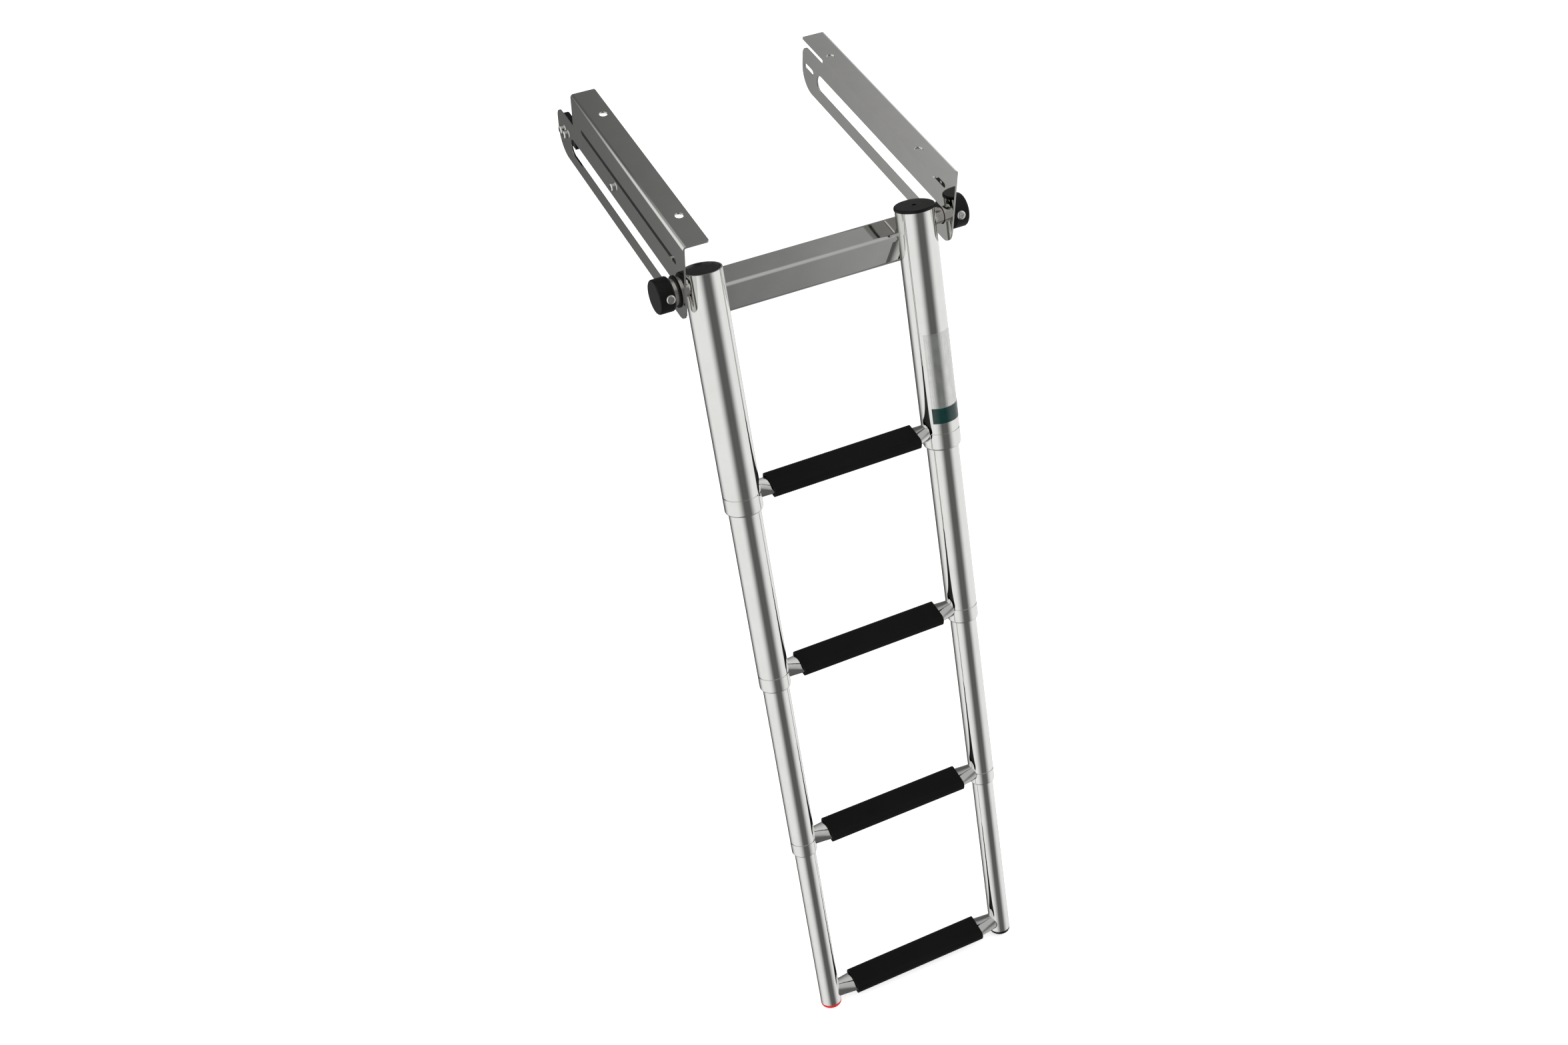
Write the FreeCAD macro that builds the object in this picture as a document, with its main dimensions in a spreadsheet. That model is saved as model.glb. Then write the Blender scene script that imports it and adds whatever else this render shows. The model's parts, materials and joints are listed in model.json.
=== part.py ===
import FreeCAD, Part

import os
import re

# Telescopic boarding ladder that slides and folds under a swim platform.
# Frame: origin at the centre of the four platform bolt holes, on the top faces of the
# rail flanges; +X to the right, +Y towards the boat, +Z up.
# The ladder frame has its origin on the hinge axis, with -Z running down the legs.

doc = FreeCAD.newDocument("boarding_ladder")
sheet = doc.addObject("Spreadsheet::Sheet", "sizes")

SIZES = {
    # slide rails
    "rail_length": 300,
    "rail_height": 94,
    "rail_half_width": 151,
    "flange_width": 28,
    "sheet_thickness": 2,
    "bend_radius": 3.5,
    "corner_radius": 2,
    "hole_radius": 4.5,
    "hole_pitch": 200,
    "hole_inset": 18,
    "front_corner_radius": 16,
    "lobe_length": 50.5,
    "lobe_top_round": 12,
    "lobe_low_round": 26,
    "lobe_drop": 42,
    "slot_height": 20,
    "slot_rear": 153,
    "strip_slot_drop": 31,
    "strip_slot_height": 5.5,
    "strip_slot_front": -128,
    "strip_slot_rear": 122,
    "lobe_slot_front": 172.5,
    "lobe_slot_rear": 195,
    "lobe_slot_drop": 65.5,
    "lobe_slot_height": 7,
    # hinge
    "pivot_front": 126,
    "pivot_drop": 69,
    "lean": 20,
    "stub_radius": 8,
    "stub_shoulder_radius": 8.8,
    "stub_end": 168,
    "spacer_radius": 14,
    "spacer_groove": 1,
    "fit_gap": 0.08,
    "slot_gap": 0.1,
    "disc_radius": 16.5,
    "disc_thickness": 1.2,
    "end_cap_start": 157,
    "end_cap_length": 17.5,
    "end_cap_radius": 18,
    "end_cap_edge": 2.5,
    "cap_screw_out": 163.2,
    "cap_screw_seat": 17.2,
    # legs
    "leg_half_spacing": 120,
    "tube_0_radius": 21,
    "tube_1_radius": 17.75,
    "tube_2_radius": 15,
    "tube_3_radius": 12.5,
    "wall_0": 1.5,
    "wall_1": 1.25,
    "wall_2": 1.2,
    "wall_3": 1.2,
    "leg_top": 15.5,
    "seam_1": 234,
    "seam_2": 458,
    "seam_3": 689,
    "leg_foot": 936,
    "collar_1": 21,
    "collar_2": 19,
    "collar_3": 18,
    "collar_round_1": 3,
    "collar_round_2": 2.5,
    "collar_round_3": 2.3,
    "stop_gap": 0.4,
    "groove": 1.4,
    "spigot": 12,
    "tube_overlap": 48,
    "glide_length": 14,
    "foot_plug": 5,
    "foot_round": 3,
    # steps
    "step_below_seam": 2.4,
    "last_step_above_foot": 12.5,
    "step_tube_radius": 10,
    "step_wall": 1.2,
    "step_flat_half_depth": 13.5,
    "step_flat_half_height": 5.25,
    "step_neck_out": 3,
    "tread_half_length": 88,
    "tread_depth": 32,
    "tread_height": 14,
    "tread_edge": 5.5,
    "tread_gap": 0.4,
    "tread_bore_edge": 5.2,
    # crossbeam
    "beam_side": 36,
    "beam_edge": 6,
    "beam_wall": 1.5,
    "beam_inner_edge": 4.5,
    "beam_back": 22,
    "beam_below_pivot": 20,
    "beam_half_length": 112,
    # caps, plugs and small parts
    "top_cap_radius": 21.8,
    "top_cap_height": 3,
    "top_cap_edge": 1.4,
    "top_cap_dimple": 2.5,
    "plug_depth": 8,
    "left_plug_recess": 1,
    "block_front": 154,
    "block_rear": 194,
    "block_top": 42,
    "block_bottom": 72,
    "block_thickness": 6,
    "block_round": 14,
    "block_screw_1": 178,
    "block_screw_2": 189,
    "screw_radius": 2.5,
    "screw_head_radius": 4.8,
    "screw_head_height": 3.2,
    "recess_length": 5,
    "recess_width": 1.2,
    "recess_depth": 1.6,
    "web_screw_back": 36,
    "web_screw_drop": 46,
    "nut_radius": 4.6,
    "nut_height": 4,
    "strip_screw_back": -122,
    "strip_screw_head_radius": 2.6,
    "strip_screw_radius": 1.5,
    "strip_screw_head_height": 1.4,
    "label_top": 118,
    "label_bottom": 222,
    "label_thickness": 0.2,
    "label_start": 224,
    "label_sweep": 120,
}

for row, (alias, value) in enumerate(SIZES.items(), 1):
    sheet.set(f"A{row}", alias)
    sheet.set(f"B{row}", str(value))
    sheet.setAlias(f"B{row}", alias)
doc.recompute()

NODES = {}
SIDES = ((-1, "left"), (1, "right"))


def formula(text):
    """Turns bare sheet names in a formula into references to the sheet."""
    return re.sub(r"\b(?!sin\b|cos\b|deg\b)([a-z][a-z_0-9]+)\b", r"sizes.\1", str(text))


def bind(item, **texts):
    for prop, text in texts.items():
        item.setExpression(prop, formula(text))
    return item


def place(item, at=(0, 0, 0), axis=None, turn=0):
    if axis:
        item.Placement = FreeCAD.Placement(FreeCAD.Vector(), FreeCAD.Rotation(FreeCAD.Vector(*axis), 1))
        item.setExpression("Placement.Rotation.Angle", f"({formula(turn)}) * 1 deg")
    for letter, text in zip("xyz", at):
        item.setExpression(f"Placement.Base.{letter}", f"({formula(text)}) * 1 mm")
    return item


def box(name, x, y, z):
    """Box from three (low, high) pairs of formulas."""
    item = doc.addObject("Part::Box", name)
    sides = {"Length": x, "Width": y, "Height": z}
    bind(item, **{prop: f"({high}) - ({low})" for prop, (low, high) in sides.items()})
    return place(item, [low for low, high in (x, y, z)])


def rod(name, radius, low, high, centre=(0, 0), along="z"):
    """Cylinder along one axis, from low to high, at centre on the other two axes."""
    item = doc.addObject("Part::Cylinder", name)
    bind(item, Radius=radius, Height=f"({high}) - ({low})")
    first, second = centre
    if along == "x":
        return place(item, (low, first, second), (0, 1, 0), 90)
    if along == "y":
        return place(item, (first, high, second), (1, 0, 0), 90)
    return place(item, (first, second, low))


def join(name, *items):
    fused = doc.addObject("Part::MultiFuse", name)
    fused.Shapes = list(items)
    fused.Refine = True
    return fused


def group(name, *items):
    """Separate solids kept together in one node."""
    compound = doc.addObject("Part::Compound", name)
    compound.Links = list(items)
    return compound


def cut(name, base, *tools):
    result = doc.addObject("Part::Cut", name)
    result.Base = base
    result.Tool = tools[0] if len(tools) == 1 else join(f"{name}_tools", *tools)
    result.Refine = True
    return result


def common(name, first, second):
    result = doc.addObject("Part::Common", name)
    result.Base = first
    result.Tool = second
    return result


def ring(name, outer, inner, low, high, centre=(0, 0), along="z"):
    wide = rod(f"{name}_outer", outer, low, high, centre, along)
    bore = rod(f"{name}_bore", inner, f"({low}) - 1", f"({high}) + 1", centre, along)
    return cut(name, wide, bore)


def rounded(name, base, alias, chosen):
    """Fillet of the edges that chosen(edge) picks, with a radius read from the sheet."""
    doc.recompute()
    radius = float(sheet.get(alias))
    picks = [i for i, edge in enumerate(base.Shape.Edges, 1) if chosen(edge)]
    item = doc.addObject("Part::Fillet", name)
    item.Base = base
    item.Edges = [(i, radius, radius) for i in picks]
    return item


def node(name, item, at=None, turned=False):
    """Files an object under its node name, in the part frame or in the ladder frame."""
    item.Label = name
    if turned:
        place(item, at or ("0", "-pivot_front", "-pivot_drop"), (1, 0, 0), "-lean")
    elif at:
        place(item, at)
    NODES[name] = item
    return item


def along_x(edge):
    first, last = edge.Vertexes[0].Point, edge.Vertexes[-1].Point
    return abs(first.y - last.y) < 1e-6 and abs(first.z - last.z) < 1e-6 and abs(first.x - last.x) > 1


# ---- small shared shapes ----

def slot_cutter(name, rear, front, drop, height, side):
    """Round-ended slot through one web, between two end centres along Y."""
    low, high = web_span(side, 1)
    middle = f"-({drop})"
    half = f"({height}) / 2"
    bar = box(f"{name}_bar", (low, high), (front, rear), (f"{middle} - {half}", f"{middle} + {half}"))
    ends = [
        rod(f"{name}_end_{i}", half, low, high, (end, middle), "x")
        for i, end in enumerate((front, rear))
    ]
    return join(name, bar, *ends)


def web_span(side, spare=0):
    """Low and high X of the web on one side, grown by a spare margin."""
    inner, outer = f"rail_half_width - sheet_thickness - {spare}", f"rail_half_width + {spare}"
    if side > 0:
        return inner, outer
    return f"-({outer})", f"-({inner})"


def span(side, inner, outer):
    """Low and high X between two distances from the middle plane, on one side."""
    if side > 0:
        return inner, outer
    return f"-({outer})", f"-({inner})"


def pan_screw(name, side, face, back, drop, reach):
    """Pan-head screw along X with a cross recess, its head on the outer face of a web."""
    low, high = span(side, face, f"{face} + screw_head_height")
    head = rod(f"{name}_head", "screw_head_radius", low, high, (back, f"-({drop})"), "x")
    top_low, top_high = span(side, f"{face} + screw_head_height - recess_depth", f"{face} + 99")
    domed = rounded(
        f"{name}_dome", head, "recess_depth",
        lambda edge: len(edge.Vertexes) == 1 and abs(abs(edge.CenterOfMass.x)
                     - float(sheet.get("rail_half_width")) - float(sheet.get("screw_head_height"))) < 0.01,
    )
    low, high = span(side, f"{face} - {reach}", face)
    shank = rod(f"{name}_shank", "screw_radius", low, high, (back, f"-({drop})"), "x")
    bars = []
    for way, (wide, tall) in {"a": ("recess_length", "recess_width"),
                              "b": ("recess_width", "recess_length")}.items():
        bars.append(box(
            f"{name}_recess_{way}", (top_low, top_high),
            (f"{back} - {wide} / 2", f"{back} + {wide} / 2"),
            (f"-({drop}) - {tall} / 2", f"-({drop}) + {tall} / 2"),
        ))
    return cut(name, join(f"{name}_body", domed, shank), *bars)


# ---- slide rails ----

def rail(side, word):
    """Angle rail: bent web with a slide slot and rear lobe, and a bolted top flange."""
    low, high = web_span(side)
    half = "rail_length / 2"
    web = box(f"{word}_web", (low, high), (f"-{half}", half), ("-rail_height", "-bend_radius"))
    lobe_end = f"{half} + lobe_length"
    lobe_middle = "-rail_height + lobe_low_round"
    lobe_parts = [
        box(f"{word}_lobe_rear", (low, high), ("0", lobe_end), (lobe_middle, "-lobe_drop - lobe_top_round")),
        box(f"{word}_lobe_top", (low, high), ("0", f"{lobe_end} - lobe_top_round"),
            (lobe_middle, "-lobe_drop")),
        box(f"{word}_lobe_low", (low, high), ("0", f"{lobe_end} - lobe_low_round"),
            ("-rail_height", lobe_middle)),
        rod(f"{word}_lobe_top_corner", "lobe_top_round", low, high,
            (f"{lobe_end} - lobe_top_round", "-lobe_drop - lobe_top_round"), "x"),
        rod(f"{word}_lobe_low_corner", "lobe_low_round", low, high,
            (f"{lobe_end} - lobe_low_round", lobe_middle), "x"),
    ]
    flange = box(
        f"{word}_flange",
        span(side, "rail_half_width - flange_width", "rail_half_width - bend_radius"),
        (f"-{half}", half), ("-sheet_thickness", "0"),
    )
    bend_x = f"{side} * (rail_half_width - bend_radius)"
    bend_tube = ring(f"{word}_bend_tube", "bend_radius", "bend_radius - sheet_thickness",
                     f"-{half}", half, (bend_x, "-bend_radius"), "y")
    quarter = box(f"{word}_bend_quarter",
                  span(side, "rail_half_width - bend_radius", "rail_half_width"),
                  (f"-{half}", half), ("-bend_radius", "0"))
    bend = common(f"{word}_bend", bend_tube, quarter)
    blank = join(f"{word}_blank", web, flange, bend, *lobe_parts)

    corner_low, corner_high = web_span(side, 1)
    corner = cut(
        f"{word}_front_corner",
        box(f"{word}_corner_block", (corner_low, corner_high),
            (f"-{half} - 1", f"-{half} + front_corner_radius"),
            ("-rail_height - 1", "-rail_height + front_corner_radius")),
        rod(f"{word}_corner_round", "front_corner_radius", f"{corner_low} - 1", f"{corner_high} + 1",
            (f"-{half} + front_corner_radius", "-rail_height + front_corner_radius"), "x"),
    )
    cutters = [
        corner,
        slot_cutter(f"{word}_slide_slot", "slot_rear", "-pivot_front", "pivot_drop", "slot_height", side),
        slot_cutter(f"{word}_strip_slot", "strip_slot_rear", "strip_slot_front",
                    "strip_slot_drop", "strip_slot_height", side),
        slot_cutter(f"{word}_lobe_slot", "lobe_slot_rear - lobe_slot_height / 2",
                    "lobe_slot_front + lobe_slot_height / 2",
                    "lobe_slot_drop", "lobe_slot_height", side),
    ]
    hole_x = f"{side} * (rail_half_width - hole_inset)"
    for end in (-1, 1):
        cutters.append(rod(f"{word}_bolt_hole_{end + 2}", "hole_radius", "-sheet_thickness - 1", "1",
                           (hole_x, f"{end} * hole_pitch / 2")))
    if side < 0:
        cutters.append(rod("web_screw_passage", "screw_radius", *web_span(side, 1),
                           ("web_screw_back", "-web_screw_drop"), "x"))
    drilled = cut(f"{word}_drilled", blank, *cutters)
    half_length = SIZES["rail_length"] / 2

    def flange_corner(edge):
        middle = edge.CenterOfMass
        upright = edge.BoundBox.ZLength > SIZES["sheet_thickness"] - 0.1 and edge.BoundBox.YLength < 0.01
        inner = abs(abs(middle.x) - SIZES["rail_half_width"] + SIZES["flange_width"]) < 0.01
        return upright and inner and abs(abs(middle.y) - half_length) < 0.01 and middle.z > -4

    return node(f"rail_{word}", rounded(f"{word}_rail", drilled, "corner_radius", flange_corner))


for side, word in SIDES:
    rail(side, word)

strip_screws = []
for side, word in SIDES:
    # black strip that fills the upper slot, flush with the web, with a screw at its front end
    strip = slot_cutter(f"{word}_strip_blank", "strip_slot_rear", "strip_slot_front", "strip_slot_drop",
                        "strip_slot_height - 2 * slot_gap", side)
    low, high = web_span(side)
    keep = box(f"{word}_strip_keep", (low, high), ("-rail_length", "rail_length"), ("-rail_height", "0"))
    centre = ("strip_screw_back", "-strip_slot_drop")
    bore = rod(f"{word}_strip_bore", "strip_screw_radius", f"{low} - 1", f"{high} + 1", centre, "x")
    node(f"slot_strip_{word}", cut(f"{word}_strip_drilled", common(f"{word}_strip", strip, keep), bore))
    low, high = span(side, "rail_half_width", "rail_half_width + strip_screw_head_height")
    head = rod(f"{word}_strip_screw_head", "strip_screw_head_radius", low, high, centre, "x")
    low, high = span(side, "rail_half_width - sheet_thickness", "rail_half_width")
    shank = rod(f"{word}_strip_screw_shank", "strip_screw_radius", low, high, centre, "x")
    strip_screws.append(join(f"{word}_strip_screw", head, shank))
node("strip_screws", group("strip_screw_pair", *strip_screws))

stop = box(
    "stop_block_blank", span(-1, "rail_half_width - sheet_thickness - block_thickness",
                            "rail_half_width - sheet_thickness"),
    ("block_front", "block_rear"), ("-block_bottom", "-block_top"),
)
stop = rounded(
    "stop_block_body", stop, "block_round",
    lambda edge: along_x(edge) and edge.CenterOfMass.y > 190 and edge.CenterOfMass.z > -50,
)
screw_bores = [
    rod(f"stop_bore_{i}", "screw_radius", "-rail_half_width", "0",
        (f"block_screw_{i}", "-lobe_slot_drop"), "x")
    for i in (1, 2)
]
node("stop_block", cut("stop_block_cut", stop, *screw_bores))
node("stop_block_screws", group("stop_screw_pair", *[
    pan_screw(f"stop_screw_{i}", -1, "rail_half_width", f"block_screw_{i}", "lobe_slot_drop", 7.5)
    for i in (1, 2)
]))

# single pan-head screw on the left web, with its nut inside
web_screw = pan_screw("web_screw_body", -1, "rail_half_width", "web_screw_back", "web_screw_drop", 9)
web_hole = rod("web_screw_hole", "screw_radius", "-rail_half_width - 1", "-rail_half_width + 20",
               ("web_screw_back", "-web_screw_drop"), "x")
node("web_screw", web_screw)
nut = doc.addObject("Part::Prism", "web_nut_blank")
nut.Polygon = 6
bind(nut, Circumradius="nut_radius", Height="nut_height")
place(nut, ("-rail_half_width + sheet_thickness", "web_screw_back", "-web_screw_drop"), (0, 1, 0), 90)
node("web_screw_nut", cut("web_nut", nut, web_hole))


# ---- hinge: sliders, stub axles, spacers and end caps ----
# The ladder frame is used from here on: X across, Y to the back of the legs, Z up the legs.

cap_screws = []
for side, word in SIDES:
    disc = rod(f"{word}_slider_disc", "disc_radius",
               *span(side, "rail_half_width + slot_gap", "rail_half_width + disc_thickness"), along="x")
    spigot = rod(f"{word}_slider_spigot", "slot_height / 2 - slot_gap",
                 *span(side, "rail_half_width - sheet_thickness", "rail_half_width + slot_gap"), along="x")
    bore = rod(f"{word}_slider_bore", "stub_radius + fit_gap",
               *span(side, "rail_half_width - 10", "rail_half_width + 10"), along="x")
    slider = cut(f"{word}_slider", join(f"{word}_slider_blank", disc, spigot), bore)
    node(f"slot_slider_{word}", slider, turned=True)

    shaft = rod(f"{word}_stub_shaft", "stub_radius", *span(side, "leg_half_spacing", "stub_end"), along="x")
    shoulder = rod(f"{word}_stub_shoulder", "stub_shoulder_radius",
                   *span(side, "leg_half_spacing", "rail_half_width - sheet_thickness - slot_gap"), along="x")
    leg = rod(f"{word}_stub_leg", "tube_0_radius", "-50", "50", (f"{side} * leg_half_spacing", "0"))
    stub = cut(f"{word}_stub", join(f"{word}_stub_blank", shaft, shoulder), leg)
    node(f"pivot_stub_{word}", stub, turned=True)

    start = "rail_half_width + disc_thickness + slot_gap"
    spacer = ring(f"{word}_spacer", "spacer_radius", "stub_radius",
                  *span(side, start, "end_cap_start"), along="x")
    middle = f"({start} + end_cap_start) / 2"
    groove = ring(f"{word}_spacer_groove", "spacer_radius + 1", "spacer_radius - spacer_groove / 2",
                  *span(side, f"{middle} - spacer_groove / 2", f"{middle} + spacer_groove / 2"), along="x")
    node(f"spacer_ring_{word}", cut(f"{word}_spacer_grooved", spacer, groove), turned=True)

    cap = rod(f"{word}_cap_body", "end_cap_radius",
              *span(side, "end_cap_start", "end_cap_start + end_cap_length"), along="x")
    cap = rounded(f"{word}_cap_round", cap, "end_cap_edge",
                  lambda edge: len(edge.Vertexes) == 1)
    socket = rod(f"{word}_cap_socket", "stub_radius",
                 *span(side, "end_cap_start - 1", "stub_end"), along="x")
    centre = (f"{side} * cap_screw_out", "0")
    seat = rod(f"{word}_cap_seat", "screw_head_radius",
               "-cap_screw_seat - 9", "-cap_screw_seat", centre, "y")
    hole = rod(f"{word}_cap_hole", "screw_radius", "-cap_screw_seat - 1", "-stub_radius", centre, "y")
    node(f"end_cap_{word}", cut(f"{word}_cap", cap, socket, seat, hole), turned=True)

    head = rod(f"{word}_cap_screw_head", "screw_head_radius", "-cap_screw_seat - screw_head_height",
               "-cap_screw_seat", centre, "y")
    head = rounded(f"{word}_cap_screw_dome", head, "recess_depth",
                   lambda edge: len(edge.Vertexes) == 1 and edge.CenterOfMass.y < -20)
    shank = rod(f"{word}_cap_screw_shank", "screw_radius", "-cap_screw_seat", "-stub_radius", centre, "y")
    recess_y = ("-cap_screw_seat - 9", "-cap_screw_seat - screw_head_height + recess_depth")
    bars = [
        box(f"{word}_cap_recess_{wide}",
            (f"{side} * cap_screw_out - {wide} / 2", f"{side} * cap_screw_out + {wide} / 2"),
            recess_y, (f"-{tall} / 2", f"{tall} / 2"))
        for wide, tall in (("recess_length", "recess_width"), ("recess_width", "recess_length"))
    ]
    cap_screws.append(cut(f"{word}_cap_screw", join(f"{word}_cap_screw_body", head, shank), *bars))
node("cap_screws", group("cap_screw_pair", *cap_screws), turned=True)


# ---- legs: four telescoping stages ----

def outer_edge(radius, level):
    """Chooses the round edge of one radius at one height of a leg."""
    def chosen(edge):
        round_edge = len(edge.Vertexes) == 1 and abs(edge.BoundBox.XLength / 2 - radius) < 0.05
        return round_edge and abs(edge.CenterOfMass.z - level) < 0.05
    return chosen


for side, word in SIDES:
    centre = (f"{side} * leg_half_spacing", "0")
    tube = ring(f"{word}_tube_0", "tube_0_radius", "tube_0_radius - wall_0", "-seam_1", "leg_top", centre)
    node(f"tube_0_{word}", tube, turned=True)
    for stage in (1, 2, 3):
        foot = f"-seam_{stage + 1}" if stage < 3 else "-leg_foot"
        top = f"-seam_{stage} + tube_overlap"
        tube = ring(f"{word}_tube_{stage}", f"tube_{stage}_radius", f"tube_{stage}_radius - wall_{stage}",
                    foot, top, centre)
        node(f"tube_{stage}_{word}", tube, turned=True)

        # collar pressed into the lower end of the stage above, guiding this stage
        outer, bore = f"tube_{stage - 1}_radius", f"tube_{stage}_radius + fit_gap"
        inside = f"{outer} - wall_{stage - 1}"
        low, high = f"-seam_{stage} - collar_{stage}", f"-seam_{stage} - groove"
        body = rod(f"{word}_collar_{stage}_body", outer, low, high, centre)
        bottom = -SIZES[f"seam_{stage}"] - SIZES[f"collar_{stage}"]
        body = rounded(f"{word}_collar_{stage}_round", body, f"collar_round_{stage}",
                       outer_edge(SIZES[outer], bottom))
        spigot = rod(f"{word}_collar_{stage}_spigot", inside, high, f"{high} + spigot", centre)
        passage = rod(f"{word}_collar_{stage}_bore", bore, f"{low} - 1", f"{high} + spigot + 1", centre)
        collar = cut(f"{word}_collar_{stage}", join(f"{word}_collar_{stage}_blank", body, spigot), passage)
        node(f"collar_{stage}_{word}", collar, turned=True)

        # glide bush that rides inside the stage above and stops on its collar
        low = f"{high} + spigot + stop_gap"
        glide = ring(f"{word}_glide_{stage}", f"{inside} - fit_gap", f"tube_{stage}_radius",
                     low, f"{low} + glide_length", centre)
        node(f"glide_bush_{stage}_{word}", glide, turned=True)

    plug = rod(f"{word}_foot_body", "tube_3_radius", "-leg_foot - foot_plug", "-leg_foot", centre)
    plug = rounded(f"{word}_foot_round", plug, "foot_round",
                   outer_edge(SIZES["tube_3_radius"], -SIZES["leg_foot"] - SIZES["foot_plug"]))
    stem = rod(f"{word}_foot_stem", "tube_3_radius - wall_3", "-leg_foot", "-leg_foot + plug_depth", centre)
    node(f"foot_plug_{word}", join(f"{word}_foot", plug, stem), turned=True)

left_plug = rod("left_plug", "tube_0_radius - wall_0", "leg_top - plug_depth", "leg_top - left_plug_recess",
                ("-leg_half_spacing", "0"))
node("top_plug_left", group("left_plug_piece", left_plug), turned=True)
centre = ("leg_half_spacing", "0")
cap_disc = rod("right_cap_disc", "top_cap_radius", "leg_top", "leg_top + top_cap_height", centre)
cap_disc = rounded("right_cap_round", cap_disc, "top_cap_edge",
                   outer_edge(SIZES["top_cap_radius"], SIZES["leg_top"] + SIZES["top_cap_height"]))
cap_stem = rod("right_cap_stem", "tube_0_radius - wall_0", "leg_top - plug_depth", "leg_top", centre)
dimple = rod("right_cap_dimple", "top_cap_dimple", "leg_top + top_cap_height / 2", "leg_top + 9", centre)
node("top_cap_right", cut("right_cap", join("right_cap_blank", cap_disc, cap_stem), dimple), turned=True)

# blank rating label wrapped round the right outer tube
outer_label = rod("label_outer", "tube_0_radius + label_thickness", "-label_bottom", "-label_top", centre)
inner_label = rod("label_inner", "tube_0_radius", "-label_bottom - 1", "-label_top + 1", centre)
bind(outer_label, Angle="label_sweep * 1 deg")
place(outer_label, ("leg_half_spacing", "0", "-label_bottom"), (0, 0, 1), "label_start")
node("label_right", cut("label", outer_label, inner_label), turned=True)


# ---- crossbeam and steps, level when the ladder is down ----

def leg_pair(name, radius, back="0"):
    """Both legs as solid rods in a level frame whose origin is that far behind their axes."""
    rods = []
    for side, word in SIDES:
        leg = doc.addObject("Part::Cylinder", f"{name}_{word}")
        bind(leg, Radius=radius, Height="2 * seam_1")
        place(leg, (
            f"{side} * leg_half_spacing",
            f"-seam_1 * sin(lean) - ({back}) * cos(lean)",
            f"-seam_1 * cos(lean) + ({back}) * sin(lean)",
        ), (1, 0, 0), "-lean")
        rods.append(leg)
    return rods


def level_point(down, back="0"):
    """Place in the part frame of a point that far down the ladder and behind its legs."""
    return (
        "0",
        f"-pivot_front - ({down}) * sin(lean) + ({back}) * cos(lean)",
        f"-pivot_drop - ({down}) * cos(lean) - ({back}) * sin(lean)",
    )


def bar(name, length, depth, height, edge):
    """Level bar along X, centred on the origin, with rounded long edges."""
    block = box(f"{name}_block", *[(f"-({full}) / 2", f"({full}) / 2") for full in (length, depth, height)])
    return rounded(name, block, edge, along_x)


beam = cut(
    "beam", bar("beam_outside", "2 * beam_half_length", "beam_side", "beam_side", "beam_edge"),
    bar("beam_inside", "2 * beam_half_length + 2", "beam_side - 2 * beam_wall", "beam_side - 2 * beam_wall",
        "beam_inner_edge"),
    *leg_pair("beam_leg", "tube_0_radius", "beam_back"),
)
node("crossbeam", beam, level_point("beam_below_pivot", "beam_back"))


def step_profile(name, half_x, radius_y, radius_z):
    """Oval across the X axis, wider from front to back than it is high."""
    oval = doc.addObject("Part::Ellipse", name)
    bind(oval, MajorRadius=radius_y, MinorRadius=radius_z)
    oval.Placement = FreeCAD.Placement(
        FreeCAD.Vector(), FreeCAD.Rotation(FreeCAD.Vector(0, 1, 0), FreeCAD.Vector(0, 0, 1),
                                           FreeCAD.Vector(1, 0, 0), "XYZ"))
    return place(oval, (half_x, "0", "0"))


def step_solid(name, leg_radius, wall):
    """Round tube pressed flat between its two necks."""
    end = f"leg_half_spacing + {wall}"
    neck = f"leg_half_spacing - {leg_radius} + step_neck_out"
    flat = "tread_half_length - 2"
    stations = [(f"-({end})", 1), (f"-({neck})", 1), (f"-({flat})", 0), (flat, 0), (neck, 1), (end, 1)]
    profiles = []
    for i, (at, round_end) in enumerate(stations):
        wide = "step_tube_radius" if round_end else "step_flat_half_depth"
        tall = "step_tube_radius" if round_end else "step_flat_half_height"
        profiles.append(step_profile(f"{name}_profile_{i}", at, f"{wide} - {wall}", f"{tall} - {wall}"))
    loft = doc.addObject("Part::Loft", name)
    loft.Sections = profiles
    loft.Solid = True
    loft.Ruled = True
    return loft


for step in (1, 2, 3, 4):
    leg_radius = f"tube_{step - 1}_radius"
    down = f"seam_{step} + step_below_seam" if step < 4 else "leg_foot - last_step_above_foot"
    outside = step_solid(f"step_{step}_outside", leg_radius, "0")
    inside = step_solid(f"step_{step}_inside", leg_radius, "step_wall")
    tube = cut(f"step_{step}", outside, inside, *leg_pair(f"step_{step}_leg", leg_radius))
    node(f"step_tube_{step}", tube, level_point(down))
    tread = cut(
        f"tread_{step}_sleeve",
        bar(f"tread_{step}_outside", "2 * tread_half_length", "tread_depth", "tread_height", "tread_edge"),
        bar(f"tread_{step}_inside", "2 * tread_half_length + 2", "2 * step_flat_half_depth + tread_gap",
            "2 * step_flat_half_height + tread_gap", "tread_bore_edge"),
    )
    node(f"tread_{step}", tread, level_point(down))


# ---- check and export ----

doc.recompute()
os.makedirs("parts", exist_ok=True)
for item in doc.Objects:
    if "Invalid" in item.State or "Error" in item.State:
        raise RuntimeError(f"{item.Name} is {item.State}")
for name, item in NODES.items():
    shape = item.Shape
    if shape.isNull() or not shape.isValid() or not shape.Solids:
        raise RuntimeError(f"{name} has no valid solid")
    shape.exportStep(f"parts/{name}.step")
    limits = shape.BoundBox
    print(f"{name:22s} solids {len(shape.Solids)} volume {shape.Volume:10.1f} "
          f"X {limits.XMin:7.1f} {limits.XMax:7.1f} Y {limits.YMin:7.1f} {limits.YMax:7.1f} "
          f"Z {limits.ZMin:7.1f} {limits.ZMax:7.1f}")
print(len(NODES), "nodes")
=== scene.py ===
import json
import math

import bpy
from mathutils import Matrix, Vector


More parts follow.
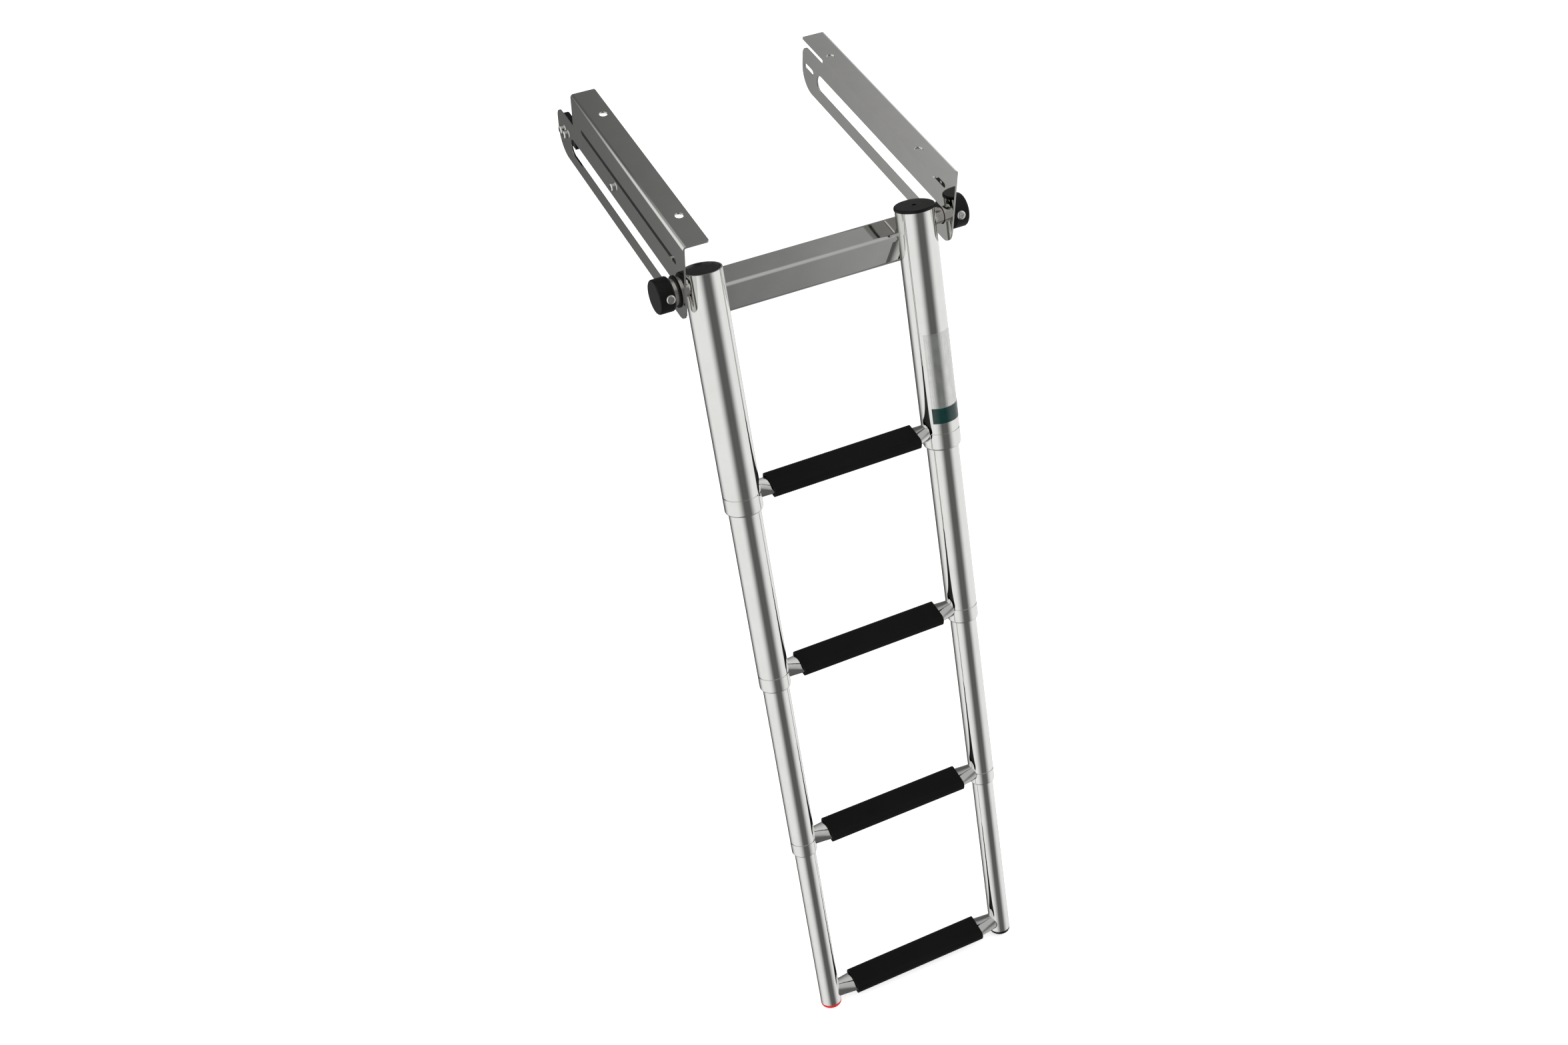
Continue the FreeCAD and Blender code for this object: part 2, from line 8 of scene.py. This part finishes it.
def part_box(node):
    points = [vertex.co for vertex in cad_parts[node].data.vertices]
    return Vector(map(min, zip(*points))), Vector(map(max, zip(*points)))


# Looks of the telescoping boarding ladder: finishes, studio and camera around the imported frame.

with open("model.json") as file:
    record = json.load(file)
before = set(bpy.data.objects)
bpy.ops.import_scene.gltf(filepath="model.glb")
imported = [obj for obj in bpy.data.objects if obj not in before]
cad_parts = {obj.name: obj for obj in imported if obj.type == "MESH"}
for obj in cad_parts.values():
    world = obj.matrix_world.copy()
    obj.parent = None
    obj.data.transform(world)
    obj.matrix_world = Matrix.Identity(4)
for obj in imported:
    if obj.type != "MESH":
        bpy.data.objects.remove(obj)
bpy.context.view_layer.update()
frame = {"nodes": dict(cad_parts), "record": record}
scene = bpy.context.scene
nodes_by_name = frame["nodes"]
record = frame["record"]

# The legs lean back from the hinge axis; the label's green band starts this far down them.
LEAN = math.radians(20)
LADDER_DOWN = Vector((0.0, -math.sin(LEAN), -math.cos(LEAN)))
PIVOT = Vector((0.0, -0.126, -0.069))
LABEL_BAND = 0.204
LABEL_EDGE = 0.0002

FOOT_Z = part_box("foot_plug_left")[0].z
FLOOR_HALF = 12.0
FLOOR_GAP = 0.001
FLOOR_GLOW = 0.55

KEY_STRENGTH = 1.5
KEY_ANGLE = math.radians(100)
KEY_TILT = (math.radians(18), math.radians(-12), 0.0)

SOFTENED = ("rail_left", "rail_right", "stop_block")
EDGE_WIDTH = 0.0003
WELD_DISTANCE = 0.000002


# ---------------------------------------------------------------- camera

CAMERA_PLACE = Vector((-0.66827, -1.44107, 1.02557))
CAMERA_FORWARD = Vector((0.30728, 0.63418, -0.70950)).normalized()
CAMERA_RIGHT = Vector((0.90082, -0.43418, 0.00205)).normalized()
CAMERA_LENS = 41.043


def add_camera():
    """The camera at the photograph's viewing angle."""
    data = bpy.data.cameras.new("camera")
    data.lens = CAMERA_LENS
    data.sensor_width = 36.0
    data.clip_start = 0.05
    data.clip_end = 100.0
    cam = bpy.data.objects.new("camera", data)
    up = CAMERA_RIGHT.cross(CAMERA_FORWARD)
    turn = Matrix((CAMERA_RIGHT, up, -CAMERA_FORWARD)).transposed()
    cam.matrix_world = Matrix.Translation(CAMERA_PLACE) @ turn.to_4x4()
    scene.collection.objects.link(cam)
    scene.camera = cam


# ---------------------------------------------------------------- node helpers

class Graph:
    """A small helper that builds one node tree."""

    def __init__(self, tree):
        self.tree = tree
        tree.nodes.clear()

    def node(self, kind, **settings):
        made = self.tree.nodes.new(kind)
        for name, value in settings.items():
            setattr(made, name, value)
        return made

    def link(self, source, target):
        self.tree.links.new(source, target)

    def feed(self, socket, value):
        """Links an output to the socket, or sets its number or colour."""
        if isinstance(value, bpy.types.NodeSocket):
            self.link(value, socket)
        else:
            socket.default_value = value

    def math(self, operation, a, b=0.0, clamp=False):
        made = self.node("ShaderNodeMath", operation=operation, use_clamp=clamp)
        self.feed(made.inputs[0], a)
        self.feed(made.inputs[1], b)
        return made.outputs[0]

    def ramp(self, factor, stops, interpolation="LINEAR"):
        made = self.node("ShaderNodeValToRGB")
        ramp = made.color_ramp
        ramp.interpolation = interpolation
        while len(ramp.elements) < len(stops):
            ramp.elements.new(0.5)
        for element, (place, colour) in zip(ramp.elements, stops):
            element.position = place
            element.color = colour if len(colour) == 4 else (*colour, 1.0)
        self.feed(made.inputs[0], factor)
        return made.outputs[0]

    def map_range(self, value, low, high, to_low=0.0, to_high=1.0, smooth=False):
        kind = "SMOOTHSTEP" if smooth else "LINEAR"
        made = self.node("ShaderNodeMapRange", interpolation_type=kind, clamp=True)
        for socket, number in zip(made.inputs, (value, low, high, to_low, to_high)):
            self.feed(socket, number)
        return made.outputs[0]

    def mix(self, factor, a, b, blend="MIX"):
        made = self.node("ShaderNodeMix", data_type="RGBA", blend_type=blend)
        self.feed(made.inputs[0], factor)
        self.feed(made.inputs[6], a)
        self.feed(made.inputs[7], b)
        return made.outputs[2]

    def place(self, scale=(1.0, 1.0, 1.0), turn=(0.0, 0.0, 0.0)):
        """Object coordinates, in metres, turned and scaled."""
        coords = self.node("ShaderNodeTexCoord")
        mapping = self.node("ShaderNodeMapping", vector_type="POINT")
        mapping.inputs["Rotation"].default_value = turn
        mapping.inputs["Scale"].default_value = scale
        self.link(coords.outputs["Object"], mapping.inputs["Vector"])
        return mapping.outputs[0]

    def noise(self, vector, scale, detail=2.0, roughness=0.5, distortion=0.0):
        made = self.node("ShaderNodeTexNoise")
        self.link(vector, made.inputs["Vector"])
        made.inputs["Scale"].default_value = scale
        made.inputs["Detail"].default_value = detail
        made.inputs["Roughness"].default_value = roughness
        made.inputs["Distortion"].default_value = distortion
        return made.outputs[0]

    def bump(self, height, distance, strength=1.0, normal=None):
        made = self.node("ShaderNodeBump")
        made.inputs["Strength"].default_value = strength
        made.inputs["Distance"].default_value = distance
        self.link(height, made.inputs["Height"])
        if normal is not None:
            self.link(normal, made.inputs["Normal"])
        return made.outputs[0]


def grey(value):
    return (value, value, value, 1.0)


def new_material(name):
    """A material with an empty tree: its graph and its Principled shader."""
    material = bpy.data.materials.new(name)
    material.use_nodes = True
    graph = Graph(material.node_tree)
    shader = graph.node("ShaderNodeBsdfPrincipled")
    output = graph.node("ShaderNodeOutputMaterial")
    graph.link(shader.outputs[0], output.inputs[0])
    return material, graph, shader


# ---------------------------------------------------------------- finishes

def polished_steel(name, tone, rough, wave, along=(1.0, 1.0, 1.0), turn=0.0, wave_scale=14.0,
                   line_depth=0.0000006):
    """Mirror-polished stainless: faint waves in the sheet, polishing lines, smudges."""
    material, graph, shader = new_material(name)
    here = graph.place()
    lines = graph.place(along, (turn, 0.0, 0.0))
    smudge = graph.noise(here, 38.0, 4.0, 0.6, 0.4)
    streak = graph.noise(lines, 900.0, 3.0, 0.6)
    tint = graph.ramp(smudge, [(0.3, (tone[0] * 0.95, tone[1] * 0.95, tone[2] * 0.94)),
                               (0.7, tone)])
    graph.link(tint, shader.inputs["Base Color"])
    blotch = graph.map_range(smudge, 0.45, 0.75, rough, rough * 2.0, smooth=True)
    fine = graph.map_range(streak, 0.35, 0.75, 0.0, rough * 0.8)
    graph.link(graph.math("ADD", blotch, fine), shader.inputs["Roughness"])
    shader.inputs["Metallic"].default_value = 1.0
    waves = graph.noise(here, wave_scale, 1.0, 0.4)
    first = graph.bump(waves, wave)
    second = graph.bump(streak, line_depth, 1.0, first)
    graph.link(second, shader.inputs["Normal"])
    return material


def turned_steel(name, tone, rough):
    """Small bright turned and headed pieces."""
    material, graph, shader = new_material(name)
    here = graph.place()
    grain = graph.noise(graph.place((6.0, 1.0, 1.0)), 1400.0, 3.0, 0.6)
    stain = graph.noise(here, 260.0, 3.0, 0.6)
    tint = graph.ramp(stain, [(0.25, tuple(0.86 * c for c in tone)), (0.7, tone)])
    graph.link(tint, shader.inputs["Base Color"])
    graph.link(graph.map_range(grain, 0.3, 0.7, rough * 0.7, rough * 1.4), shader.inputs["Roughness"])
    shader.inputs["Metallic"].default_value = 1.0
    graph.link(graph.bump(grain, 0.000002), shader.inputs["Normal"])
    return material


def moulded_plastic(name, dark, light, rough, grain, gloss_level=0.5, grain_scale=2600.0):
    """Moulded plastic: fine spark-eroded grain, handling marks, slightly uneven gloss."""
    material, graph, shader = new_material(name)
    here = graph.place()
    cloud = graph.noise(here, 55.0, 4.0, 0.6)
    scuff = graph.noise(graph.place((1.0, 7.0, 2.0), (0.4, 0.2, 0.0)), 210.0, 4.0, 0.7, 0.6)
    fine = graph.noise(here, grain_scale, 2.0, 0.5)
    base = graph.ramp(cloud, [(0.3, dark), (0.75, light)])
    marks = graph.map_range(scuff, 0.66, 0.78, 0.0, 0.35, smooth=True)
    worn = graph.mix(marks, base, tuple(min(1.0, c * 2.2 + 0.004) for c in light) + (1.0,))
    graph.link(worn, shader.inputs["Base Color"])
    gloss = graph.map_range(cloud, 0.3, 0.7, rough * 0.85, rough * 1.15)
    graph.link(graph.math("ADD", gloss, graph.math("MULTIPLY", marks, 0.2)), shader.inputs["Roughness"])
    graph.link(graph.bump(fine, grain), shader.inputs["Normal"])
    shader.inputs["Specular IOR Level"].default_value = gloss_level
    return material


def tread_rubber(name):
    """Extruded tread rubber: matt, fine grain, faint draw lines along its length."""
    material, graph, shader = new_material(name)
    here = graph.place()
    cloud = graph.noise(here, 30.0, 4.0, 0.65)
    drawn = graph.noise(graph.place((0.03, 1.0, 1.0)), 1500.0, 2.0, 0.5)
    grain = graph.noise(here, 3200.0, 3.0, 0.6)
    dust = graph.noise(here, 700.0, 5.0, 0.7)
    base = graph.ramp(cloud, [(0.25, (0.0022, 0.0022, 0.0023)), (0.8, (0.0042, 0.0042, 0.0044))])
    speck = graph.map_range(dust, 0.68, 0.8, 0.0, 0.15, smooth=True)
    graph.link(graph.mix(speck, base, (0.03, 0.03, 0.029, 1.0)), shader.inputs["Base Color"])
    graph.link(graph.map_range(cloud, 0.3, 0.7, 0.50, 0.62), shader.inputs["Roughness"])
    first = graph.bump(drawn, 0.00002)
    graph.link(graph.bump(grain, 0.00004, 1.0, first), shader.inputs["Normal"])
    shader.inputs["Specular IOR Level"].default_value = 0.14
    return material


def label_film(name):
    """Blank clear film with a dark green band along its lower edge."""
    material, graph, shader = new_material(name)
    here = graph.place()
    split = graph.node("ShaderNodeSeparateXYZ")
    graph.link(here, split.inputs[0])
    down_y = graph.math("MULTIPLY", split.outputs[1], LADDER_DOWN.y)
    down_z = graph.math("MULTIPLY", split.outputs[2], LADDER_DOWN.z)
    depth = graph.math("ADD", down_y, down_z)
    start = PIVOT.dot(LADDER_DOWN)
    band = graph.map_range(depth, start + LABEL_BAND - LABEL_EDGE,
                           start + LABEL_BAND + LABEL_EDGE)
    cloud = graph.noise(here, 90.0, 4.0, 0.6)
    fibre = graph.noise(here, 1800.0, 2.0, 0.5)
    film = graph.ramp(cloud, [(0.3, (0.40, 0.43, 0.40)), (0.75, (0.50, 0.53, 0.50))])
    green = graph.ramp(cloud, [(0.3, (0.002, 0.024, 0.022)), (0.75, (0.003, 0.034, 0.031))])
    graph.link(graph.mix(band, film, green), shader.inputs["Base Color"])
    haze = graph.map_range(cloud, 0.3, 0.7, 0.06, 0.12)
    cover = graph.math("ADD", haze, graph.math("MULTIPLY", band, 0.9), clamp=True)
    graph.link(cover, shader.inputs["Alpha"])
    graph.link(graph.map_range(fibre, 0.3, 0.7, 0.12, 0.2), shader.inputs["Roughness"])
    graph.link(graph.bump(fibre, 0.000003), shader.inputs["Normal"])
    return material


def finish_nodes():
    """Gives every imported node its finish."""
    steel = (0.80, 0.80, 0.785)
    tube = polished_steel("tube_steel", steel, 0.025, 0.00006, (3.0, 1.0, 0.05), LEAN)
    step = polished_steel("step_steel", steel, 0.035, 0.00008, (0.05, 1.0, 1.0))
    beam = polished_steel("beam_steel", steel, 0.022, 0.00035, (0.05, 1.0, 1.0), 0.0, 16.0)
    sheet = polished_steel("sheet_steel", (0.74, 0.735, 0.715), 0.03, 0.00008, (1.0, 0.05, 1.0), 0.0,
                           12.0, 0.0000002)
    by_slot = {
        "polished_stainless": tube,
        "axle_steel": turned_steel("axle_finish", (0.78, 0.77, 0.75), 0.10),
        "screw_steel": turned_steel("screw_finish", (0.80, 0.79, 0.77), 0.14),
        "black_cap_plastic": moulded_plastic("cap_finish", (0.0025, 0.0025, 0.0027),
                                             (0.0045, 0.0045, 0.0048), 0.40, 0.00002, 0.22),
        "black_nylon": moulded_plastic("nylon_finish", (0.002, 0.002, 0.002),
                                       (0.004, 0.004, 0.004), 0.42, 0.00002, 0.18),
        "white_acetal": moulded_plastic("acetal_finish", (0.66, 0.66, 0.62),
                                        (0.74, 0.74, 0.70), 0.38, 0.00001),
        "tread_rubber": tread_rubber("rubber_finish"),
        "red_plug_plastic": moulded_plastic("plug_finish", (0.52, 0.006, 0.004),
                                            (0.62, 0.010, 0.006), 0.45, 0.000008, 0.25),
        "label_film": label_film("label_finish"),
    }
    own = {"crossbeam": beam, "rail_left": sheet, "rail_right": sheet}
    own.update({f"step_tube_{i}": step for i in (1, 2, 3, 4)})
    for row in record["subparts"]:
        node = nodes_by_name[row["node"]]
        node.material_slots[0].material = own.get(row["node"], by_slot[row["material_slot"]])


def soften_edges(name, width):
    """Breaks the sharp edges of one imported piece, as deburred metal and moulded parts have."""
    node = nodes_by_name[name]
    weld = node.modifiers.new("weld", "WELD")
    weld.merge_threshold = WELD_DISTANCE
    bevel = node.modifiers.new("edge", "BEVEL")
    bevel.width = width
    bevel.segments = 2
    bevel.limit_method = "ANGLE"
    bevel.angle_limit = math.radians(40)


# ---------------------------------------------------------------- studio

# Brightness of the surround at its sides, in front and behind, and overhead.
SIDE_LEVEL = 0.95
FRONT_LEVEL = 0.12
CEILING_LEVEL = 0.5


def add_studio():
    """Plain soft light: a surround that is pale at both sides and dimmer in front and behind."""
    world = bpy.data.worlds.new("studio")
    scene.world = world
    world.use_nodes = True
    graph = Graph(world.node_tree)
    coords = graph.node("ShaderNodeTexCoord")
    split = graph.node("ShaderNodeSeparateXYZ")
    graph.link(coords.outputs["Generated"], split.inputs[0])
    sideways = graph.math("ABSOLUTE", split.outputs[0])
    surround = graph.map_range(sideways, 0.2, 0.8, FRONT_LEVEL, SIDE_LEVEL, smooth=True)
    overhead = graph.map_range(split.outputs[2], 0.6, 0.95, smooth=True)
    seen = graph.mix(overhead, surround, grey(CEILING_LEVEL))
    reflected = graph.node("ShaderNodeBackground")
    graph.link(seen, reflected.inputs[0])
    backdrop = graph.node("ShaderNodeBackground")
    backdrop.inputs[0].default_value = grey(1.0)
    path = graph.node("ShaderNodeLightPath")
    choice = graph.node("ShaderNodeMixShader")
    graph.link(path.outputs["Is Camera Ray"], choice.inputs[0])
    graph.link(reflected.outputs[0], choice.inputs[1])
    graph.link(backdrop.outputs[0], choice.inputs[2])
    output = graph.node("ShaderNodeOutputWorld")
    graph.link(choice.outputs[0], output.inputs[0])


def add_key_light():
    """A very wide soft light from above, left out of the reflections."""
    data = bpy.data.lights.new("key", "SUN")
    data.energy = KEY_STRENGTH
    data.angle = KEY_ANGLE
    lamp = bpy.data.objects.new("key", data)
    lamp.rotation_euler = KEY_TILT
    lamp.visible_glossy = False
    lamp.visible_camera = False
    scene.collection.objects.link(lamp)


def add_floor():
    """A plain pale floor under the foot of the ladder."""
    mesh = bpy.data.meshes.new("floor")
    half = FLOOR_HALF
    level = FOOT_Z - FLOOR_GAP
    corners = [(-half, -half, level), (half, -half, level), (half, half, level),
               (-half, half, level)]
    mesh.from_pydata(corners, [], [(0, 1, 2, 3)])
    floor = bpy.data.objects.new("floor", mesh)
    scene.collection.objects.link(floor)
    material, graph, shader = new_material("floor_paint")
    tone = graph.noise(graph.place(), 3.0, 3.0, 0.5)
    graph.link(graph.ramp(tone, [(0.3, (0.86, 0.86, 0.86)), (0.7, (0.88, 0.88, 0.88))]),
               shader.inputs["Base Color"])
    shader.inputs["Roughness"].default_value = 1.0
    shader.inputs["Specular IOR Level"].default_value = 0.0
    shader.inputs["Emission Color"].default_value = grey(1.0)
    shader.inputs["Emission Strength"].default_value = FLOOR_GLOW
    mesh.materials.append(material)
    floor.visible_glossy = False


# ---------------------------------------------------------------- the scene

add_camera()
finish_nodes()
for name in SOFTENED:
    soften_edges(name, EDGE_WIDTH)
add_studio()
add_floor()
add_key_light()
scene.view_settings.view_transform = "Standard"
